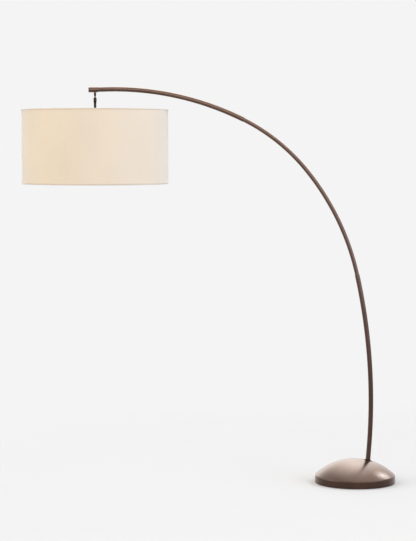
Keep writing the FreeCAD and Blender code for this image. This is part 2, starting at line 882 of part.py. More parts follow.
def socket_shell():
    bottom = -shell_top_drop - shell_length
    bead = shell_bead_radius
    shell = turned([
        (cup_inner_radius, bottom), (cup_radius, bottom),
        (cup_radius + bead, bottom + bead, cup_radius, bottom + 2 * bead),
        (cup_radius, -shell_top_drop), (cup_inner_radius, -shell_top_drop)])
    return in_socket(shell.cut(switch_cut(switch_hole_radius)))


def socket_sleeve():
    outer = cup_inner_radius - slip_gap
    top = -shell_top_drop - socket_cap_wall
    sleeve = ring(outer, outer - sleeve_wall, top - sleeve_length, top)
    return in_socket(sleeve.cut(switch_cut(switch_hole_radius)))


def socket_body():
    top = socket_body_top - socket_top
    bottom = socket_body_bottom - socket_top
    recess = socket_body_recess_radius
    body = turned([(0, bottom), (socket_body_radius, bottom), (socket_body_radius, top), (recess, top),
                   (recess, top - socket_body_recess_depth), (0, top - socket_body_recess_depth)])
    return in_socket(body.cut(switch_cut(shaft_radius + thread_gap)))


def socket_screw_shell():
    top = socket_body_bottom - socket_top
    bottom = top - screw_shell_length
    return in_socket(ring(screw_shell_radius, screw_shell_radius - screw_shell_wall, bottom, top))


def socket_contact():
    """Leaf that is flat on the socket body at one end and bent down to the bulb's tip at the other."""
    top = socket_body_bottom - socket_top
    end = contact_length / 2
    low = top - contact_drop - contact_thickness
    corners = [(-end, top), (0, top), (end, low), (end - contact_thickness, low),
               (-contact_thickness, top - contact_thickness), (-end, top - contact_thickness)]
    outline = [Vector(x, -contact_width / 2, z) for x, z in corners + corners[:1]]
    leaf = Part.Face(Part.makePolygon(outline)).extrude(Vector(0, contact_width, 0))
    return in_socket(leaf)


def switch_knob():
    start = socket_cap_radius + shaft_collar_gap
    end = start + knob_length
    edge = knob_edge_radius
    soften = rounding_inset(edge)
    knob = turned([
        (0, shaft_inner_end), (shaft_radius, shaft_inner_end), (shaft_radius, start), (knob_radius, start),
        (knob_radius, end - edge), (knob_radius - soften, end - soften, knob_radius - edge, end), (0, end)])
    flute = Part.makeCylinder(knob_flute_radius, knob_length, Vector(knob_radius, 0, start))
    for index in range(knob_flute_count):
        knob = knob.cut(flute.rotated(Vector(0, 0, 0), Vector(0, 0, 1), 360 / knob_flute_count * index))
    return in_socket(placed(knob, Vector(0, 0, -switch_drop), Vector(0, -1, 0)))


# Bulb

def bulb_cap():
    top = bulb_top - bulb_tip_height
    bottom = top - bulb_cap_length
    inner = bulb_cap_radius - bulb_cap_wall
    return on_hanger(turned([
        (0, top - bulb_cap_wall), (0, bulb_top), (bulb_tip_radius, bulb_top), (inner, top),
        (bulb_cap_radius, top - bulb_cap_wall), (bulb_cap_radius, bottom), (inner, bottom),
        (inner, top - 2 * bulb_cap_wall)]))


def glass_outline(radius, throat, neck, mouth):
    """Outline of the bulb from its mouth to the tip of its round end, as steps for a turned shape."""
    throat_height = mouth - bulb_neck_length - bulb_throat_drop
    widest = throat_height - bulb_flare_length
    flare = (throat + (radius - throat) * bulb_flare_radius_share,
             throat_height - bulb_flare_length * bulb_flare_height_share, radius, widest)
    end = (radius * math.sqrt(0.5), widest - radius * math.sqrt(0.5), 0, widest - radius)
    return [(neck, mouth), (neck, mouth - bulb_neck_length), (throat, throat_height), flare, end]


def bulb_glass():
    mouth = bulb_top - bulb_tip_height - bulb_cap_length + bulb_neck_length
    neck = bulb_cap_radius - bulb_cap_wall - slip_gap
    wall = bulb_glass_wall
    outside = turned(glass_outline(bulb_radius, bulb_throat_radius, neck, mouth) + [(0, mouth)])
    inside = turned(glass_outline(bulb_radius - wall, bulb_throat_radius - wall, neck - wall, mouth)
                    + [(0, mouth)])
    return on_hanger(outside.cut(inside))


# Every sub-part is written to its own file

pieces = [base_cover, base_weight, base_felt, cord_grommet,
          arm_foot_flange, arm_foot_bush, arm_foot_stud, foot_washer, foot_lock_washer, foot_nut,
          arm_lower, arm_middle, arm_upper, arm_joint_screws, arm_tip_fitting, arm_tip_cap, arm_lead,
          ball_stud, swivel_pins, swivel_housing, stem_tube, stem_nipple, stem_lead,
          shade_liner, shade_fabric, shade_top_hem, shade_bottom_hem, shade_bottom_ring, shade_spider,
          spider_nut, socket_cap, socket_shell, socket_sleeve, socket_body, socket_screw_shell,
          socket_contact, switch_knob, bulb_cap, bulb_glass]

os.makedirs("parts", exist_ok=True)
for piece in pieces:
    shape = piece()
    shape.exportStep(os.path.join("parts", piece.__name__ + ".step"))

print("pivot of the swivel", [round(value, 2) for value in pivot])
print("tip of the arm", [round(value, 2) for value in tip_point + tip_direction * tip_length])
print("shade edges at", round(shade_top, 2), round(shade_bottom, 2))
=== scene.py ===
# Arc floor lamp: the linen shade, the bulb's thread, every finish and the studio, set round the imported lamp.
# Sizes are in metres and in the lamp's own frame: +Z is up and the origin is the centre of the base.

import math

import bpy
from bpy.props import FloatProperty, FloatVectorProperty, IntProperty, PointerProperty
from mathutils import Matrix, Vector


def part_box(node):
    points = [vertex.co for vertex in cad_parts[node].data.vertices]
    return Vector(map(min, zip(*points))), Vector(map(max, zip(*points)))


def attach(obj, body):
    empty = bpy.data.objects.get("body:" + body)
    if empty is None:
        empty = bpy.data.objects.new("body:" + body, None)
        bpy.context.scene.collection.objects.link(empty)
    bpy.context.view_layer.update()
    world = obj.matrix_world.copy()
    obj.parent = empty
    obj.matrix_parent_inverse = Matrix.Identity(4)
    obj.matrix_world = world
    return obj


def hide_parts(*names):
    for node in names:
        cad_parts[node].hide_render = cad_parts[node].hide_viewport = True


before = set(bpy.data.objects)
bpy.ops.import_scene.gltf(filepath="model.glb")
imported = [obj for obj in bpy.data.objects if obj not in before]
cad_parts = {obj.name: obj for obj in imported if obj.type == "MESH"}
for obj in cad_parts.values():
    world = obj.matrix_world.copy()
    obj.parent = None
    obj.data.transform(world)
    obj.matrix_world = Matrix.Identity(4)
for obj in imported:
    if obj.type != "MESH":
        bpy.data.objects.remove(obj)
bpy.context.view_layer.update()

bl_info = {
    "name": "Arc Floor Lamp",
    "version": (1, 0, 0),
    "blender": (4, 5, 0),
    "location": "3D View > Sidebar > Floor Lamp",
    "description": "Dresses the packed arc floor lamp: linen shade, bulb, metal finishes and studio",
    "category": "Object",
}


# Places read from the imported parts

def radius_of(node):
    low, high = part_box(node)
    return (high.y - low.y) / 2


def height_of(node):
    low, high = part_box(node)
    return high.z - low.z


fabric_low, fabric_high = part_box("shade_fabric")
fabric_height = height_of("shade_fabric")
fabric_radius = radius_of("shade_fabric")
shade_x = (fabric_low.x + fabric_high.x) / 2
shade_axis = Vector((shade_x, 0, 0))
shade_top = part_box("shade_top_hem")[1].z
shade_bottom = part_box("shade_bottom_hem")[0].z
liner_radius = radius_of("shade_liner")
hem_radius = radius_of("shade_bottom_hem")
ring_radius = radius_of("shade_bottom_ring")
ring_wire = height_of("shade_bottom_ring")
felt_radius = radius_of("base_felt")
felt_height = height_of("base_felt")
dome_radius = radius_of("base_cover")


# Settings that a user may change

def length_setting(name, description, default):
    return FloatProperty(name=name, description=description, default=default, min=0, precision=5,
                         unit="LENGTH")


def share_setting(name, description, default):
    return FloatProperty(name=name, description=description, default=default, min=0, max=1, subtype="FACTOR")


def colour_setting(name, description, default):
    return FloatVectorProperty(name=name, description=description, default=default, min=0, max=1, size=3,
                               subtype="COLOR")


class LampColours(bpy.types.PropertyGroup):
    """Colours of the lamp's finishes."""

    bronze: colour_setting("Bronze", "Lacquer on the dome of the base", (0.072, 0.038, 0.025))
    # Painted shade: the skirt shares the dome's lacquer and is darkened here because its upright side catches
    # less light
    bronze_skirt_painted_shade: colour_setting("Skirt bronze", "Lacquer on the upright edge of the base",
                                 (0.046, 0.021, 0.012))
    bronze_worn: colour_setting("Rubbed bronze", "Lacquer where edges are rubbed", (0.15, 0.085, 0.05))
    bronze_arm: colour_setting("Arm bronze", "Lower part of the arm", (0.054, 0.026, 0.016))
    # Painted light: the arm's upper part gets this paler colour for the brighter light that falls on it
    bronze_arm_painted_light: colour_setting("Faded bronze", "Arm from half its height upwards", (0.095, 0.052, 0.036))
    bronze_dark: colour_setting("Dark bronze", "Swivel, stem, foot flange, screws and socket",
                                (0.030, 0.018, 0.012))
    iron: colour_setting("Cast iron", "Black paint on the weight", (0.035, 0.034, 0.033))
    felt: colour_setting("Felt", "Pad under the base", (0.040, 0.036, 0.033))
    zinc: colour_setting("Zinc", "Plating on nut, washers, bush and stud", (0.56, 0.57, 0.56))
    rubber: colour_setting("Rubber", "Inlet grommet", (0.022, 0.022, 0.022))
    lead: colour_setting("Lead", "Sheath of the lead inside the arm", (0.045, 0.040, 0.036))
    linen: colour_setting("Linen", "Threads of the shade", (0.876, 0.700, 0.490))
    hem: colour_setting("Hem", "Folded tape at the shade's edges", (0.74, 0.575, 0.41))
    liner: colour_setting("Liner", "Styrene inside the shade", (0.84, 0.81, 0.74))
    wire: colour_setting("White wire", "Coating on ring, spokes and hub", (0.74, 0.72, 0.67))
    card: colour_setting("Card", "Insulating sleeve of the socket", (0.36, 0.28, 0.18))
    phenolic: colour_setting("Phenolic", "Moulded socket body and switch knob", (0.022, 0.016, 0.013))
    brass: colour_setting("Brass", "Contacts of the socket", (0.75, 0.53, 0.24))
    aluminium: colour_setting("Aluminium", "Screw cap of the bulb", (0.74, 0.74, 0.73))
    glass: colour_setting("Frosted glass", "Bulb", (0.92, 0.91, 0.88))


class ShadeSettings(bpy.types.PropertyGroup):
    """Cloth and hems of the drum shade."""

    segments: IntProperty(name="Segments", description="Columns round the linen", default=192, min=48)
    rows: IntProperty(name="Rows", description="Rows up the linen", default=8, min=2)
    cloth_thickness: length_setting("Cloth thickness", "Linen sheet", 0.0006)
    lap_width: length_setting("Lap width", "Overlap of the linen at the back", 0.012)
    lap_ramp: length_setting("Lap ramp", "Length in which the linen climbs onto its other end", 0.004)
    hem_thickness: length_setting("Hem thickness", "Folded tape", 0.0005)
    hem_drop: length_setting("Hem height outside", "Outer leg of the tape", 0.0065)
    hem_inner_drop: length_setting("Hem height inside", "Inner leg of the tape", 0.0080)
    hem_fold: length_setting("Hem fold", "Radius of the tape's fold over the edge", 0.0012)
    notch_half: length_setting("Notch", "Half the width of the notch at each spoke", 0.0033)
    thread_pitch: length_setting("Thread pitch", "From one thread of the linen to the next", 0.00062)


class BulbSettings(bpy.types.PropertyGroup):
    """Screw thread of the bulb's cap."""

    thread_pitch: length_setting("Thread pitch", "From one turn of the thread to the next", 0.003629)
    thread_depth: length_setting("Thread depth", "From the crest of the thread to its root", 0.0009)


class StudioSettings(bpy.types.PropertyGroup):
    """Camera, light and floor."""

    camera_distance: length_setting("Camera distance", "From the arm's plane", 9.324)
    camera_height: length_setting("Camera height", "Above the floor", 1.7009)
    camera_side: FloatProperty(name="Camera side", description="Place along X", default=-0.7481,
                               unit="LENGTH")
    camera_pitch: FloatProperty(name="Camera pitch", description="How far the camera looks down",
                                default=math.radians(3.81), subtype="ANGLE")
    focal_length: FloatProperty(name="Focal length", description="Lens for a 36 mm high sensor",
                                default=123.1, unit="CAMERA")
    backdrop_level: share_setting("Backdrop level", "Brightness of the plain background", 0.905)
    ambient_level: share_setting("Ambient level", "Brightness of the soft light from all round", 0.52)
    front_power: FloatProperty(name="Front box", description="Power of the soft box in front", default=9,
                               min=0, subtype="POWER")
    floor_bounce: share_setting("Floor bounce", "How much light the floor throws back", 0.18)
    floor_colour: colour_setting("Floor colour", "Floor as the camera sees it", (0.680, 0.646, 0.604))
    shadow_reach: length_setting("Shadow reach", "Radius of floor that shows a shadow", 1.6)


# Materials

class Signal:
    """Output of a node. Arithmetic on signals and numbers adds the Math nodes for it."""

    def __init__(self, finish, socket):
        self.finish = finish
        self.socket = socket

    def __add__(self, other):
        return self.finish.math("ADD", self, other)

    def __radd__(self, other):
        return self.finish.math("ADD", other, self)

    def __sub__(self, other):
        return self.finish.math("SUBTRACT", self, other)

    def __rsub__(self, other):
        return self.finish.math("SUBTRACT", other, self)

    def __mul__(self, other):
        return self.finish.math("MULTIPLY", self, other)

    def __rmul__(self, other):
        return self.finish.math("MULTIPLY", other, self)


class Finish:
    """A material or world that is built node by node."""

    def __init__(self, owner):
        self.owner = owner
        owner.use_nodes = True
        self.tree = owner.node_tree
        self.tree.nodes.clear()

    def node(self, kind, settings=None, sockets=None, output=0):
        """Adds a node: its settings are set first, then the values or links of its sockets."""
        made = self.tree.nodes.new(kind)
        for name, value in (settings or {}).items():
            setattr(made, name, value)
        for name, value in (sockets or {}).items():
            self.feed(made.inputs[name], value)
        return Signal(self, made.outputs[output])

    def feed(self, socket, value):
        if isinstance(value, Signal):
            self.tree.links.new(value.socket, socket)
        elif hasattr(value, "__len__") and socket.type == "RGBA":
            socket.default_value = (*value[:3], 1)
        else:
            socket.default_value = value

    def place(self):
        """Where a point is on the lamp, in metres."""
        return self.node("ShaderNodeTexCoord", None, None, "Object")

    def noise(self, place, scale, detail=2):
        """Cloudy noise, with so many waves for each unit of place."""
        return self.node("ShaderNodeTexNoise", None, {"Vector": place, "Scale": scale, "Detail": detail})

    def cells(self, place, scale, output):
        """Crystals or pits, with so many for each unit of place."""
        return self.node("ShaderNodeTexVoronoi", None, {"Vector": place, "Scale": scale}, output)

    def math(self, operation, *values):
        return self.node("ShaderNodeMath", {"operation": operation}, dict(enumerate(values)))

    def vector(self, operation, *values, output="Vector"):
        return self.node("ShaderNodeVectorMath", {"operation": operation}, dict(enumerate(values)), output)

    def length(self, vector):
        return self.vector("LENGTH", vector, output="Value")

    def dot(self, first, second):
        return self.vector("DOT_PRODUCT", first, second, output="Value")

    def part_of(self, vector, index):
        return self.node("ShaderNodeSeparateXYZ", None, {0: vector}, index)

    def reach_from_axis(self, place):
        """Distance from the upright axis through the origin."""
        return self.length(self.vector("MULTIPLY", place, (1, 1, 0)))

    def ramp(self, value, low, high):
        """0 at low, 1 at high and even in between; low may be the greater."""
        return self.node("ShaderNodeMapRange", None, {"Value": value, "From Min": low, "From Max": high})

    def band(self, value, centre, half):
        """1 at the centre, falling to 0 at half the band's width on each side."""
        return self.ramp(self.math("ABSOLUTE", value - centre), half, 0)

    def clamped(self, value):
        return self.ramp(value, 0, 1)

    def bump(self, relief, strength, height):
        return self.node("ShaderNodeBump", None,
                         {"Height": relief, "Strength": strength, "Distance": height}, "Normal")

    def surface(self, sockets):
        return self.node("ShaderNodeBsdfPrincipled", None, sockets)

    def grey(self, level):
        return (level, level, level)

    def spread(self, value):
        """One number as all three parts of a vector."""
        return self.node("ShaderNodeCombineXYZ", None, {0: value, 1: value, 2: value})

    def mix(self, share, first, second):
        return self.node("ShaderNodeMix", {"data_type": "RGBA"}, {0: share, 6: first, 7: second}, 2)

    def ray(self, kind):
        """1 for rays of this kind, such as Is Camera Ray, and 0 for the others."""
        return self.node("ShaderNodeLightPath", None, None, kind)

    def close(self, shader, kind="ShaderNodeOutputMaterial"):
        output = self.tree.nodes.new(kind)
        self.tree.links.new(shader.socket, output.inputs["Surface"])
        return self.owner


def new_material(name):
    return Finish(bpy.data.materials.new(name))


def tinted(colour, factor):
    """Lighter or darker copy of a colour."""
    return tuple(min(1.0, part * factor) for part in colour)


def cloudy(finish, place, colour, scale, spread):
    """Colour that drifts a little lighter and darker over the surface."""
    drift = finish.noise(place, scale, detail=3)
    return finish.mix(finish.ramp(drift, 0.3, 0.7), tinted(colour, 1 - spread), tinted(colour, 1 + spread))


# Roughness of the lacquer where it is clean
SATIN = 0.285


def bronze_lacquer(name, colours, colour, coat, dull=0.0, spun=0.0, rubbed=None, painted_light_above=None):
    """Brown metal under satin lacquer.

    spun adds rings about Z, rubbed gives the mask of rubbed edges, and painted_light_above is the paler colour
    higher up, with the heights between which it sets in; this is painted light, lighter where more light
    falls.
    """
    finish = new_material(name)
    place = finish.place()
    patches = finish.ramp(finish.noise(place, scale=11, detail=3), 0.4, 0.8)
    smears = finish.ramp(finish.noise(place, scale=46, detail=4), 0.35, 0.75)
    flecks = finish.ramp(finish.noise(place, scale=1900, detail=1), 0.55, 0.80)
    relief = finish.noise(place, scale=520)
    tone = cloudy(finish, place, colour, scale=17, spread=0.10)
    # Painted light: above the given heights the lacquer turns paler, for the brighter light that falls up
    # there
    if painted_light_above:
        paler, low, high = painted_light_above
        risen = finish.ramp(finish.part_of(place, 2), low, high)
        tone = finish.mix(risen, tone, cloudy(finish, place, paler, scale=17, spread=0.10))
    tone = finish.mix(flecks * 0.12, tone, tinted(colour, 1.7))
    rough = SATIN + dull + smears * 0.04 + patches * 0.03
    if rubbed:
        mask = rubbed(finish, place) * finish.ramp(finish.noise(place, scale=260, detail=3), 0.38, 0.62)
        tone = finish.mix(mask, tone, tuple(colours.bronze_worn))
        rough = rough + mask * 0.08
    if spun:
        turned = finish.node("ShaderNodeCombineXYZ", None, {0: finish.reach_from_axis(place) * 1300})
        rings = finish.noise(turned, scale=1)
        relief = relief + rings * spun
        rough = rough + finish.ramp(rings, 0.45, 0.75) * 0.02
    shader = finish.surface({
        "Base Color": tone, "Metallic": 1.0, "Roughness": rough, "Specular Tint": (1.0, 0.90, 0.84),
        "Coat Weight": coat, "Coat Roughness": 0.20,
        "Normal": finish.bump(relief, strength=0.10, height=0.00004)})
    return finish.close(shader)


def rubbed_cover(finish, place):
    """Shoulder and foot of the cover's skirt."""
    shoulder_height = 0.0345
    shoulder_half = 0.0022
    rim_start = dome_radius - 0.010
    rim_full = dome_radius - 0.004
    foot_start = 0.0042
    foot_full = 0.0015
    height = finish.part_of(place, 2)
    rim = finish.ramp(finish.reach_from_axis(place), rim_start, rim_full)
    shoulder = finish.band(height, shoulder_height, shoulder_half) * rim
    foot = finish.ramp(height, foot_start, foot_full)
    return finish.clamped(shoulder * 0.35 + foot * 0.8)


# Where one section of the arm steps onto the next, and how far the arm leans there, in degrees
ARM_STEPS = {
    "lower joint": ((0.005335, 0, 1.058337), 12.75),
    "upper joint": ((-0.568924, 0, 1.839714), 63.55),
    "start of the tip fitting": ((-1.296784, 0, 1.990640), 91.53),
}


def rubbed_arm(finish, place):
    """Edges where one section of the arm steps onto the next."""
    edge_half = 0.0011
    near_full = 0.026
    near_end = 0.030
    mask = 0
    for centre, lean in ARM_STEPS.values():
        turn = math.radians(lean)
        along = (-math.sin(turn), 0, math.cos(turn))
        offset = finish.vector("SUBTRACT", place, centre)
        near = finish.ramp(finish.length(offset), near_end, near_full)
        mask = mask + finish.band(finish.dot(offset, along), 0.0, edge_half) * near
    return finish.clamped(mask * 0.8)


def coated_iron(name, colour):
    """Rough casting under black paint, with rust-brown in its pits."""
    rust = (0.09, 0.045, 0.02)
    finish = new_material(name)
    place = finish.place()
    grain = finish.noise(place, scale=330, detail=4)
    pits = finish.cells(place, scale=190, output="Distance")
    tone = cloudy(finish, place, colour, scale=30, spread=0.2)
    tone = finish.mix(finish.ramp(grain, 0.62, 0.75), tone, rust)
    shader = finish.surface({"Base Color": tone, "Metallic": 0.0, "Roughness": 0.62 + grain * 0.25,
                             "Normal": finish.bump(grain + pits, strength=0.6, height=0.0004)})
    return finish.close(shader)


def fibrous(name, colour, scale, lie, roughness):
    """Matt fibres, longer along the axes that lie makes short."""
    finish = new_material(name)
    place = finish.place()
    fibre = finish.noise(finish.vector("MULTIPLY", place, lie), scale, detail=4)
    tuft = finish.noise(place, scale * 0.12, detail=3)
    tone = finish.mix(finish.ramp(fibre, 0.35, 0.7), tinted(colour, 0.72), tinted(colour, 1.35))
    tone = finish.mix(finish.ramp(tuft, 0.4, 0.7) * 0.3, tone, tinted(colour, 1.8))
    shader = finish.surface({"Base Color": tone, "Roughness": roughness + fibre * 0.1, "Sheen Weight": 0.25,
                             "Normal": finish.bump(fibre, strength=0.7, height=0.0003)})
    return finish.close(shader)


def bare_metal(name, colour, roughness, spangle=0.0, stain=(0.30, 0.22, 0.14)):
    """Plain or plated metal with fine scuffs, faint stains and, on zinc, crystals."""
    finish = new_material(name)
    place = finish.place()
    scuff = finish.noise(finish.vector("MULTIPLY", place, (1, 1, 14)), scale=420, detail=3)
    cloud = finish.noise(place, scale=90, detail=3)
    tone = cloudy(finish, place, colour, scale=160, spread=0.07)
    if spangle:
        crystal = finish.cells(place, scale=420, output="Color")
        tone = finish.mix(spangle, tone, finish.vector("MULTIPLY", crystal, tuple(colour)))
    tone = finish.mix(finish.ramp(cloud, 0.62, 0.8) * 0.35, tone, stain)
    rough = roughness + finish.ramp(scuff, 0.4, 0.7) * 0.12
    shader = finish.surface({"Base Color": tone, "Metallic": 1.0, "Roughness": rough,
                             "Normal": finish.bump(scuff, strength=0.25, height=0.00003)})
    return finish.close(shader)


def soft_aluminium(name, colours):
    """Grey metal of the bulb's cap, with grey stains."""
    return bare_metal(name, tuple(colours.aluminium), roughness=0.30, stain=(0.45, 0.44, 0.42))


def moulded(name, colour, roughness, grain, coat=0.0):
    """Rubber, phenolic or a lead's sheath: even colour, faint flow marks and a fine grain."""
    finish = new_material(name)
    place = finish.place()
    flow = finish.noise(finish.vector("MULTIPLY", place, (1, 1, 3)), scale=70, detail=4)
    fine = finish.noise(place, grain)
    tone = finish.mix(finish.ramp(flow, 0.4, 0.7), tinted(colour, 0.85), tinted(colour, 1.3))
    rough = roughness + finish.ramp(flow, 0.45, 0.75) * 0.10 + fine * 0.06
    shader = finish.surface({"Base Color": tone, "Roughness": rough,
                             "Coat Weight": coat, "Coat Roughness": 0.12,
                             "Normal": finish.bump(fine, strength=0.2, height=0.00008)})
    return finish.close(shader)


def coated_wire(name, colour):
    """White powder coat with orange peel, greyer where hands and dust have been."""
    finish = new_material(name)
    place = finish.place()
    peel = finish.noise(place, scale=780)
    dust = finish.noise(place, scale=24, detail=4)
    tone = finish.mix(finish.ramp(dust, 0.45, 0.75) * 0.5, colour, tinted(colour, 0.86))
    shader = finish.surface({"Base Color": tone, "Roughness": 0.34 + peel * 0.1, "Coat Weight": 0.25,
                             "Normal": finish.bump(peel, strength=0.25, height=0.00008)})
    return finish.close(shader)


def styrene_sheet(name, colour):
    """White sheet inside the shade, with its glued lap at the back and faint ripples along its roll."""
    lap_half = 0.0075
    lap_edge = 0.0062
    edge_half = 0.0007
    back_start = 0.30
    back_full = 0.34
    finish = new_material(name)
    place = finish.node("ShaderNodeMapping", {"vector_type": "POINT"},
                        {"Vector": finish.place(), "Location": (-shade_x, 0, 0)})
    across = finish.part_of(place, 0)
    behind = finish.ramp(finish.part_of(place, 1), back_start, back_full)
    lap = finish.band(across, 0.0, lap_half) * behind
    edge = finish.band(across, lap_edge, edge_half) * behind
    ripple = finish.noise(finish.vector("MULTIPLY", place, (1, 1, 0.06)), scale=55, detail=3)
    fine = finish.noise(place, scale=900)
    tone = cloudy(finish, place, colour, scale=9, spread=0.02)
    tone = finish.mix(finish.ramp(lap, 0, 0.2) * 0.35, tone, tinted(colour, 0.90))
    tone = finish.mix(edge * 0.7, tone, tinted(colour, 0.62))
    relief = ripple + finish.ramp(lap, 0, 0.15) * 0.8 + fine * 0.04
    shader = finish.surface({"Base Color": tone, "Roughness": 0.38 + ripple * 0.12,
                             "Normal": finish.bump(relief, strength=0.35, height=0.0005)})
    return finish.close(shader)


def frosted(name, colour):
    """Inside-frosted glass: milky white under a clear, polished outside."""
    finish = new_material(name)
    bloom = finish.noise(finish.place(), scale=60, detail=4)
    tone = finish.mix(finish.ramp(bloom, 0.35, 0.75), colour, tinted(colour, 0.94))
    shader = finish.surface({"Base Color": tone, "Roughness": 0.32 + bloom * 0.12, "Coat Weight": 0.9,
                             "Coat Roughness": 0.06, "Transmission Weight": 0.18, "IOR": 1.5})
    return finish.close(shader)


def woven(name, colour, pitch, slub, cross=False):
    """Plain linen weave on the piece's own unrolled map, with thick and thin threads."""
    finish = new_material(name)
    cloth = finish.node("ShaderNodeUVMap", {"uv_map": "unrolled"})
    if cross:
        bias = (0, 0, math.radians(45))
        cloth = finish.node("ShaderNodeMapping", None, {"Vector": cloth, "Rotation": bias})
    across = finish.part_of(cloth, 0)
    up = finish.part_of(cloth, 1)
    half_turn = math.pi / pitch
    warp_side = finish.math("SINE", across * half_turn)
    weft_side = finish.math("SINE", up * half_turn)
    over = finish.ramp(warp_side * weft_side, -0.35, 0.35)
    warp_round = finish.math("ABSOLUTE", warp_side)
    weft_round = finish.math("ABSOLUTE", weft_side)
    thread = over * warp_round + (1 - over) * weft_round
    warp_slub = finish.noise(finish.vector("MULTIPLY", cloth, (1 / pitch, 9, 1)), scale=1)
    weft_slub = finish.noise(finish.vector("MULTIPLY", cloth, (14, 1 / pitch, 1)), scale=1)
    thick = finish.ramp(warp_slub, 0.58, 0.78) * over + finish.ramp(weft_slub, 0.54, 0.76) * (1 - over)
    thin = finish.ramp(warp_slub, 0.40, 0.24) * over + finish.ramp(weft_slub, 0.42, 0.24) * (1 - over)
    bolt = finish.noise(finish.vector("MULTIPLY", cloth, (5, 2.2, 1)), scale=1, detail=3)
    tone = finish.mix(finish.ramp(bolt, 0.3, 0.7), tinted(colour, 0.975), tinted(colour, 1.025))
    tone = finish.mix(thick * slub, tone, tinted(colour, 1.16))
    tone = finish.mix(thin * slub, tone, tinted(colour, 0.82))
    # Painted shade: the weave darkens where a thread sinks between its neighbours
    tone = finish.mix(finish.ramp(thread, 0.45, 0.05) * 0.30, tone, tinted(colour, 0.62))
    relief = thread * 0.6 + thick * 0.8
    shader = finish.surface({"Base Color": tone, "Roughness": 0.86 + thread * 0.08, "Sheen Weight": 0.80,
                             "Sheen Roughness": 0.45, "Specular IOR Level": 0.4,
                             "Normal": finish.bump(relief, strength=0.55, height=0.00022)})
    return finish.close(shader)


# Modelling

def begin():
    """Leaves nothing selected, so that the next operator acts on its own piece alone."""
    bpy.ops.object.select_all(action="DESELECT")


def take(piece):
    """Selects one piece alone and makes it the active one."""
    begin()
    piece.select_set(True)
    bpy.context.view_layer.objects.active = piece


def edit():
    bpy.ops.object.mode_set(mode="EDIT")


def edit_all():
    """Opens edit mode with the whole mesh selected."""
    edit()
    bpy.ops.mesh.select_all(action="SELECT")


def leave_edit():
    bpy.ops.object.mode_set(mode="OBJECT")


def pick(piece, wanted):
    """Selects only the corners that are wanted, and what lies between them."""
    take(piece)
    edit()
    bpy.ops.mesh.select_mode(type="VERT")
    bpy.ops.mesh.select_all(action="DESELECT")
    leave_edit()
    for vertex in piece.data.vertices:
        vertex.select = wanted(vertex)


def scaled_about(centre, factor):
    """Scales what is selected in plan about an upright axis."""
    bpy.ops.transform.resize(value=(factor, factor, 1), center_override=centre)


def upright_line(name, middle, length, parts):
    """Upright row of edges about its middle: one side of a plane whose other side is deleted."""
    x, y, z = middle
    begin()
    bpy.ops.mesh.primitive_plane_add(size=length, calc_uvs=False, rotation=(0, math.pi / 2, 0),
                                     location=(x, y + length / 2, z))
    line = bpy.context.object
    line.name = name
    bpy.ops.object.transform_apply()
    pick(line, lambda vertex: vertex.co.y > y + length / 2)
    edit()
    bpy.ops.mesh.delete(type="VERT")
    bpy.ops.mesh.select_all(action="SELECT")
    bpy.ops.mesh.subdivide(number_cuts=parts - 1)
    leave_edit()
    return line


def ring_piece(name, centre, outline, segments):
    """Surface of revolution, drawn ring by ring through (radius, height), with its unrolled map in metres."""
    begin()
    radius, height = outline[0]
    bpy.ops.mesh.primitive_circle_add(vertices=segments, radius=radius, location=(centre.x, centre.y, height),
                                      calc_uvs=False)
    piece = bpy.context.object
    piece.name = name
    bpy.ops.object.transform_apply()
    edit_all()
    for (radius, height), (next_radius, next_height) in zip(outline, outline[1:]):
        bpy.ops.mesh.extrude_edges_move(TRANSFORM_OT_translate={"value": (0, 0, next_height - height)})
        scaled_about((centre.x, centre.y, next_height), next_radius / radius)
    leave_edit()
    travel = [0.0]
    for before, after in zip(outline, outline[1:]):
        travel.append(travel[-1] + math.dist(before, after))
    first_radius = outline[0][0]
    columns = [math.atan2(vertex.co.x - centre.x, centre.y - vertex.co.y) * first_radius
               for vertex in piece.data.vertices]
    rows = [travel[vertex.index // segments] for vertex in piece.data.vertices]
    unroll(piece, columns, rows, 2 * math.pi * first_radius)
    return piece


def unroll(piece, columns, rows, girth):
    """Writes the unrolled map. A face that crosses the back keeps its own side of the join."""
    layer = piece.data.uv_layers.new(name="unrolled")
    for face in piece.data.polygons:
        first = columns[face.vertices[0]]
        for corner in face.loop_indices:
            vertex = piece.data.loops[corner].vertex_index
            step = (columns[vertex] - first + girth / 2) % girth - girth / 2
            layer.data[corner].uv = (first + step, rows[vertex])


def apply_modifier(piece, kind, **settings):
    modifier = piece.modifiers.new(kind.lower(), kind)
    for setting, value in settings.items():
        setattr(modifier, setting, value)
    take(piece)
    bpy.ops.object.modifier_apply(modifier=modifier.name)


# Corners nearer than this are one corner
MERGE = 0.00001


def face_outwards(piece, merge=MERGE):
    """Merges doubles and turns every face outwards."""
    take(piece)
    edit_all()
    bpy.ops.mesh.remove_doubles(threshold=merge)
    bpy.ops.mesh.normals_make_consistent(inside=False)
    leave_edit()


def smooth(piece, angle=35):
    take(piece)
    bpy.ops.object.shade_smooth_by_angle(angle=math.radians(angle))


def finished(piece, body, material, node):
    """Gives a piece its finish, its body and the node that it stands for."""
    piece.data.materials.clear()
    piece.data.materials.append(material)
    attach(piece, body)
    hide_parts(node)
    return piece


# Shade

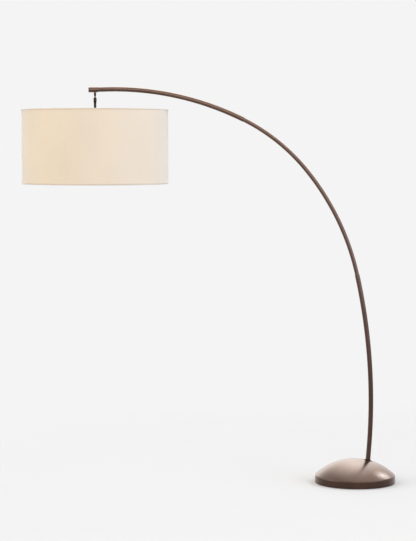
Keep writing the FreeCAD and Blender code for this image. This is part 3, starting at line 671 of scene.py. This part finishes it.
def linen_skin(shade):
    """One sheet of linen rolled round the liner, its free end lapped over its start at the back."""
    lap_steps = 4
    climb_steps = 4
    inner = fabric_radius - shade.cloth_thickness
    middle = (fabric_low.z + fabric_high.z) / 2
    sheet = upright_line("linen_skin", (shade_x, inner, middle), fabric_height, shade.rows)
    lap = shade.lap_width / inner
    climb = shade.lap_ramp / inner
    # The free end lies a twentieth of the cloth's thickness clear of the end under it
    lift = 1 + 1.05 * shade.cloth_thickness / inner
    stretches = [(lap, lap_steps, 1.0), (2 * math.pi - lap - climb, shade.segments, 1.0)]
    stretches += [(climb / climb_steps, 1, lift ** (1 / climb_steps))] * climb_steps
    stretches += [(lap, lap_steps, 1.0)]
    centre = (shade_x, 0, middle)
    columns = [0.0]
    edit_all()
    for turn, steps, growth in stretches:
        bpy.ops.mesh.spin(steps=steps, angle=turn, center=centre, axis=(0, 0, 1))
        if growth != 1:
            scaled_about(centre, growth)
        columns += [columns[-1] + turn * inner * (step + 1) / steps for step in range(steps)]
    leave_edit()
    high = shade.rows + 1
    # Longer than any face, so that none counts as crossing the join
    unbroken = 10
    unroll(sheet, [columns[vertex.index // high] for vertex in sheet.data.vertices],
           [vertex.co.z - fabric_low.z for vertex in sheet.data.vertices], unbroken)
    return sheet


def hem_outline(edge, inward, shade):
    """Outline of a hem as (radius, height), from its outer leg over the edge to its inner leg."""
    cut_height = 0.0005
    outer_cut = 0.0004
    inner_cut = 0.0003
    clearance = 0.0001
    fold = shade.hem_fold
    soft = fold * (1 - math.sqrt(0.5))
    inner = ring_radius - ring_wire - shade.hem_thickness - clearance
    corners = [(hem_radius - outer_cut, shade.hem_drop), (hem_radius, shade.hem_drop - cut_height),
               (hem_radius, fold), (hem_radius - soft, soft), (hem_radius - fold, 0),
               (inner + fold, 0), (inner + soft, soft), (inner, fold),
               (inner, shade.hem_inner_drop - cut_height), (inner + inner_cut, shade.hem_inner_drop)]
    return [(radius, edge + inward * depth) for radius, depth in corners]


def hem_piece(name, edge, inward, shade):
    """Linen tape folded over one edge of the drum and its wire, its end lapped at the back."""
    lap_width = 0.013
    lap_lift = 0.0005
    tape = ring_piece(name, shade_axis, hem_outline(edge, inward, shade), 2 * shade.segments)
    pick(tape, lambda vertex: (vertex.co - shade_axis).xy.length > liner_radius and vertex.co.y > 0
         and 0 <= vertex.co.x - shade_x < lap_width)
    edit()
    scaled_about((shade_x, 0, edge), 1 + lap_lift / hem_radius)
    leave_edit()
    return tape


def cut_notches(tape, edge, shade):
    """Opens the inner leg of the top hem at each spoke."""
    spokes = 4
    for index in range(spokes):
        angle = math.radians(360 / spokes * (index + 0.5))
        away = Vector((math.cos(angle), math.sin(angle), 0))
        side = Vector((-away.y, away.x, 0))
        for half in (-shade.notch_half, shade.notch_half):
            edit_all()
            bpy.ops.mesh.bisect(plane_co=shade_axis + side * half, plane_no=side)
            leave_edit()
        pick(tape, lambda vertex: in_notch(vertex.co, away, side, edge, shade))
        edit()
        bpy.ops.mesh.delete(type="ONLY_FACE")
        bpy.ops.mesh.select_all(action="SELECT")
        bpy.ops.mesh.delete_loose()
        leave_edit()


def in_notch(point, away, side, edge, shade):
    """Whether a corner of the top hem lies on or inside a spoke's notch."""
    slack = 0.00001
    below_fold = edge - shade.hem_fold * 0.9
    offset = point - shade_axis
    return (offset.xy.length < ring_radius - ring_wire and point.z < below_fold
            and offset.dot(away) > 0 and abs(offset.dot(side)) < shade.notch_half + slack)


def hem_side(piece):
    """Solidify offset that puts the tape's thickness inside its outline."""
    outer = next(face for face in piece.data.polygons
                 if (face.center - shade_axis).xy.length > fabric_radius and abs(face.normal.z) < 0.1)
    return -1.0 if outer.normal.dot(outer.center - shade_axis) > 0 else 1.0


class LAMP_OT_shade(bpy.types.Operator):
    """Roll the linen round the drum and fold its two hems"""

    bl_idname = "lamp.shade"
    bl_label = "Shade"

    def execute(self, context):
        shade = context.scene.lamp_shade
        colours = context.scene.lamp_colours
        linen = woven("linen", tuple(colours.linen), shade.thread_pitch, slub=0.8)
        tape = woven("hem_tape", tuple(colours.hem), shade.thread_pitch * 0.8, slub=0.5, cross=True)
        sheet = linen_skin(shade)
        apply_modifier(sheet, "SOLIDIFY", thickness=shade.cloth_thickness, offset=0.0, use_even_offset=True)
        smooth(sheet)
        finished(sheet, "shade_hanger", linen, "shade_fabric")
        for node, edge, inward in (("shade_top_hem", shade_top, -1), ("shade_bottom_hem", shade_bottom, 1)):
            piece = hem_piece(node.replace("shade_", "") + "_fold", edge, inward, shade)
            if inward < 0:
                cut_notches(piece, edge, shade)
            apply_modifier(piece, "SOLIDIFY", thickness=shade.hem_thickness, offset=hem_side(piece))
            smooth(piece)
            finished(piece, "shade_hanger", tape, node)
        return {"FINISHED"}


# Bulb cap and felt pad

def thread_turns(name, radius, depth, pitch, turns, bottom):
    """Rolled screw thread about the stem's axis: one wave of its wall, wound upwards."""
    points = 8
    facets = 48
    wall = upright_line(name, (0, -pitch / 2, 0), pitch, points)
    for vertex in wall.data.vertices:
        wave = 0.5 + 0.5 * math.cos(2 * math.pi * vertex.co.z / pitch)
        vertex.co = (radius - depth * wave, 0, vertex.co.z)
    apply_modifier(wall, "SCREW", axis="Z", screw_offset=pitch, iterations=turns, steps=facets,
                   render_steps=facets, use_merge_vertices=True)
    wall.location = (shade_x, 0, bottom + pitch / 2)
    take(wall)
    bpy.ops.object.transform_apply()
    return wall


def cap_outline(low, high, radius, bore, thread_low, thread_high):
    """Outline of the cap as (radius, height): foot, wall behind the thread, shoulder and contact."""
    contact = 0.0045
    pole = 0.0001
    return [(bore - 0.0006, low), (radius, low), (radius, thread_low - 0.0006), (bore, thread_low),
            (bore, thread_high), (bore - 0.0030, thread_high + 0.0010),
            (contact + 0.0012, high - 0.0014), (contact, high - 0.0012),
            (contact - 0.0007, high - 0.0003), (contact - 0.0022, high), (pole, high)]


class LAMP_OT_bulb_cap(bpy.types.Operator):
    """Roll the screw thread of the bulb's cap and close its end"""

    bl_idname = "lamp.bulb_cap"
    bl_label = "Bulb cap"

    def execute(self, context):
        bulb = context.scene.lamp_bulb
        turns = 4
        foot_height = 0.0042
        wall_thickness = 0.0003
        # Wider than the ring round the contact's pole and finer than every other step of the cap
        pole_merge = 0.00021
        low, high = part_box("bulb_cap")
        radius = radius_of("bulb_cap")
        thread_low = low.z + foot_height
        thread_high = thread_low + (turns + 1) * bulb.thread_pitch
        outline = cap_outline(low.z, high.z, radius, radius - bulb.thread_depth, thread_low, thread_high)
        cap = ring_piece("bulb_thread", shade_axis, outline, segments=64)
        wall = thread_turns("thread_wall", radius, bulb.thread_depth, bulb.thread_pitch, turns, thread_low)
        for shell, merge in ((cap, pole_merge), (wall, MERGE)):
            face_outwards(shell, merge)
            apply_modifier(shell, "SOLIDIFY", thickness=wall_thickness, offset=-1.0)
        take(cap)
        wall.select_set(True)
        bpy.ops.object.join()
        smooth(cap, angle=40)
        metal = soft_aluminium("aluminium_thread", context.scene.lamp_colours)
        finished(cap, "shade_hanger", metal, "bulb_cap")
        return {"FINISHED"}


class LAMP_OT_base_felt(bpy.types.Operator):
    """Lay the felt pad under the weight"""

    bl_idname = "lamp.base_felt"
    bl_label = "Felt pad"

    def execute(self, context):
        colours = context.scene.lamp_colours
        edge = 0.0006
        rings = (0.0002, 0.06, 0.13)
        # Wider than the innermost ring, so that both poles close
        pole_merge = 0.00045
        outline = [(radius, 0) for radius in rings]
        outline += [(felt_radius - edge, 0), (felt_radius, edge), (felt_radius, felt_height - edge),
                    (felt_radius - edge, felt_height)]
        outline += [(radius, felt_height) for radius in reversed(rings)]
        pad = ring_piece("felt_pad", Vector((0, 0, 0)), outline, segments=128)
        face_outwards(pad, pole_merge)
        smooth(pad)
        felt = fibrous("felt", tuple(colours.felt), scale=900, lie=(1, 1, 3), roughness=0.85)
        finished(pad, "stand", felt, "base_felt")
        return {"FINISHED"}


# Studio

# Direction, how narrow it is, brightness, and how much of it matt surfaces receive
SOFT_BOXES = {
    "left": ((-0.97, -0.15, 0.12), 6, (2.46, 2.58, 2.86), 1.2),
    "left rear": ((-0.42, 0.88, 0.22), 24, (0.90, 0.90, 0.90), 0.5),
    "right": ((0.94, -0.30, 0.14), 6, (0.27, 0.32, 0.52), 4.6),
    "right front": ((0.74, -0.65, 0.14), 16, (1.20, 1.65, 2.45), 1.4),
    "front": ((0.03, -0.99, 0.14), 24, (2.78, 2.68, 2.50), 0.8),
    "rear": ((0.00, 0.82, 0.57), 8, (1.75, 1.80, 1.80), 0.8),
    "rear high": ((0.12, 0.64, 0.77), 20, (2.60, 2.98, 3.05), 0.1),
    "overhead": ((0.00, 0.35, 0.94), 14, (2.90, 3.48, 3.75), 0.1),
    "right high": ((0.64, -0.30, 0.70), 6, (1.45, 1.55, 1.60), 0.5),
    "left high": ((-0.60, -0.30, 0.74), 6, (0.43, 0.43, 0.43), 1.0),
    "key high": ((0.520, 0.400, 0.755), 600, (12.5, 14.4, 15.2), 0.5),
    "key": ((0.560, 0.510, 0.655), 600, (27.5, 32.0, 34.0), 0.5),
    "key low": ((0.580, 0.620, 0.530), 600, (11.5, 13.4, 14.2), 0.5),
}


def studio_world(studio):
    """Plain backdrop, which metal shows too, and a pale room with soft boxes that lights the lamp."""
    sky = Finish(bpy.data.worlds.new("studio"))
    direction = sky.node("ShaderNodeTexCoord", None, None, "Generated")
    mirrored = sky.ray("Is Glossy Ray")
    room = sky.spread(studio.ambient_level + mirrored * (studio.backdrop_level - studio.ambient_level))
    for towards, sharpness, strength, matt_share in SOFT_BOXES.values():
        facing = sky.math("MAXIMUM", sky.dot(direction, Vector(towards).normalized()), 0.0)
        glow = sky.math("POWER", facing, sharpness)
        if matt_share != 1:
            glow = glow * (matt_share + mirrored * (1 - matt_share))
        room = sky.vector("MULTIPLY_ADD", sky.spread(glow), strength, room)
    seen = sky.ray("Is Camera Ray") + sky.ray("Is Transmission Ray")
    colour = sky.mix(seen, room, sky.grey(studio.backdrop_level))
    shader = sky.node("ShaderNodeBackground", None, {"Color": colour, "Strength": 1.0})
    return sky.close(shader, "ShaderNodeOutputWorld")


def studio_floor(studio):
    """Pale floor that keeps the soft shadow round the base and meets the backdrop unseen."""
    finish = new_material("floor")
    away = finish.node("ShaderNodeMapRange", {"interpolation_type": "SMOOTHSTEP"}, {
        "Value": finish.length(finish.place()),
        "From Min": studio.shadow_reach, "From Max": 2 * studio.shadow_reach})
    seen = finish.ray("Is Camera Ray") + finish.ray("Is Glossy Ray") + finish.ray("Is Transmission Ray")
    tone = finish.mix(seen, finish.grey(studio.floor_bounce), studio.floor_colour)
    lit = finish.node("ShaderNodeBsdfDiffuse", None, {"Color": tone})
    plain = finish.node("ShaderNodeEmission", None,
                        {"Color": (1, 1, 1), "Strength": studio.backdrop_level})
    shader = finish.node("ShaderNodeMixShader", None, {0: seen * away, 1: lit, 2: plain})
    return finish.close(shader)


def lay_floor(studio):
    """Floor so wide that no view shows its edge."""
    begin()
    bpy.ops.mesh.primitive_plane_add(size=400)
    floor = bpy.context.object
    floor.name = "studio_floor"
    floor.data.materials.append(studio_floor(studio))


def hang_front_box(studio):
    """Warm soft box in front, above the lamp and turned to its upper half."""
    place = Vector((-0.75, -2.6, 3.1))
    aim = Vector((-0.55, 0, 1.75))
    turn = (aim - place).to_track_quat("-Z", "Y").to_euler()
    bpy.ops.object.light_add(type="AREA", location=place, rotation=turn)
    box = bpy.context.object
    box.name = "front_box"
    box.data.shape = "RECTANGLE"
    box.data.size = 2.4
    box.data.size_y = 1.0
    box.data.energy = studio.front_power
    box.data.color = (1.0, 0.96, 0.90)


def set_camera(scene, studio):
    """Camera at the photograph's place, with its lens."""
    place = (studio.camera_side, -studio.camera_distance, studio.camera_height)
    bpy.ops.object.camera_add(location=place, rotation=(math.pi / 2 - studio.camera_pitch, 0, 0))
    camera = bpy.context.object
    camera.data.sensor_fit = "VERTICAL"
    camera.data.sensor_height = 36
    camera.data.lens = studio.focal_length
    scene.camera = camera


class LAMP_OT_studio(bpy.types.Operator):
    """Set up the pale floor, the soft light and the camera"""

    bl_idname = "lamp.studio"
    bl_label = "Studio"

    def execute(self, context):
        scene = context.scene
        studio = scene.lamp_studio
        lay_floor(studio)
        scene.world = studio_world(studio)
        hang_front_box(studio)
        set_camera(scene, studio)
        scene.view_settings.view_transform = "Standard"
        return {"FINISHED"}


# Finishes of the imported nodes

class LAMP_OT_finishes(bpy.types.Operator):
    """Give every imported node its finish"""

    bl_idname = "lamp.finishes"
    bl_label = "Finishes"

    def execute(self, context):
        colours = context.scene.lamp_colours
        bronze = tuple(colours.bronze)
        painted_light_above = tuple(colours.bronze_arm_painted_light)
        dark = tuple(colours.bronze_dark)
        slots = {
            # The arm's lacquer turns paler from 0.45 m to 1.10 m up: painted light
            "bronze_metal": bronze_lacquer("bronze", colours, tuple(colours.bronze_arm), coat=0.45,
                                           rubbed=rubbed_arm, painted_light_above=(painted_light_above, 0.45, 1.10)),
            "dark_bronze": bronze_lacquer("dark_bronze", colours, dark, coat=0.10, dull=0.10),
            "cast_iron": coated_iron("cast_iron_paint", tuple(colours.iron)),
            "base_felt": moulded("felt_core", tuple(colours.felt), roughness=0.9, grain=700),
            "zinc_steel": bare_metal("zinc_plate", tuple(colours.zinc), roughness=0.34, spangle=0.25),
            "black_rubber": moulded("rubber", tuple(colours.rubber), roughness=0.62, grain=1200),
            "lead_sheath": moulded("sheath", tuple(colours.lead), roughness=0.42, grain=900),
            "shade_liner": styrene_sheet("styrene", tuple(colours.liner)),
            "white_wire": coated_wire("white_coat", tuple(colours.wire)),
            "socket_metal": bronze_lacquer("socket_bronze", colours, dark, coat=0.10, dull=0.05),
            "card_sleeve": fibrous("card", tuple(colours.card), scale=700, lie=(1, 1, 8), roughness=0.75),
            "phenolic": moulded("phenolic_moulding", tuple(colours.phenolic), roughness=0.28, grain=1500,
                                coat=0.4),
            "contact_brass": bare_metal("brass_leaf", tuple(colours.brass), roughness=0.28),
            "cap_metal": soft_aluminium("aluminium_cap", colours),
            "frosted_glass": frosted("bulb_frost", tuple(colours.glass)),
        }
        # The cover is spun, and the ends of the pins are lacquered over with the housing
        own = {
            # The cover's skirt below 30 mm is painted darker than its dome: painted shade on the upright side
            "base_cover": bronze_lacquer("bronze_spun", colours, tuple(colours.bronze_skirt_painted_shade), coat=0.45,
                                         spun=0.8, rubbed=rubbed_cover, painted_light_above=(bronze, 0.030, 0.040)),
            "swivel_pins": slots["dark_bronze"],
        }
        for name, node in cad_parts.items():
            for place, material in enumerate(node.data.materials):
                if name in own:
                    node.data.materials[place] = own[name]
                elif material.name in slots:
                    node.data.materials[place] = slots[material.name]
        return {"FINISHED"}


# Add-on

class LAMP_PT_panel(bpy.types.Panel):
    """Lists the steps that dress the lamp"""

    bl_idname = "LAMP_PT_panel"
    bl_label = "Floor Lamp"
    bl_space_type = "VIEW_3D"
    bl_region_type = "UI"
    bl_category = "Floor Lamp"

    def draw(self, context):
        for operator in OPERATORS:
            self.layout.operator(operator.bl_idname)


OPERATORS = (LAMP_OT_finishes, LAMP_OT_shade, LAMP_OT_bulb_cap, LAMP_OT_base_felt, LAMP_OT_studio)
CLASSES = (LampColours, ShadeSettings, BulbSettings, StudioSettings) + OPERATORS + (LAMP_PT_panel,)


def register():
    for made in CLASSES:
        bpy.utils.register_class(made)
    bpy.types.Scene.lamp_colours = PointerProperty(type=LampColours)
    bpy.types.Scene.lamp_shade = PointerProperty(type=ShadeSettings)
    bpy.types.Scene.lamp_bulb = PointerProperty(type=BulbSettings)
    bpy.types.Scene.lamp_studio = PointerProperty(type=StudioSettings)


def unregister():
    del bpy.types.Scene.lamp_studio
    del bpy.types.Scene.lamp_bulb
    del bpy.types.Scene.lamp_shade
    del bpy.types.Scene.lamp_colours
    for made in reversed(CLASSES):
        bpy.utils.unregister_class(made)


def main():
    register()
    bpy.ops.lamp.finishes()
    bpy.ops.lamp.shade()
    bpy.ops.lamp.bulb_cap()
    bpy.ops.lamp.base_felt()
    bpy.ops.lamp.studio()


if __name__ == "__main__":
    main()
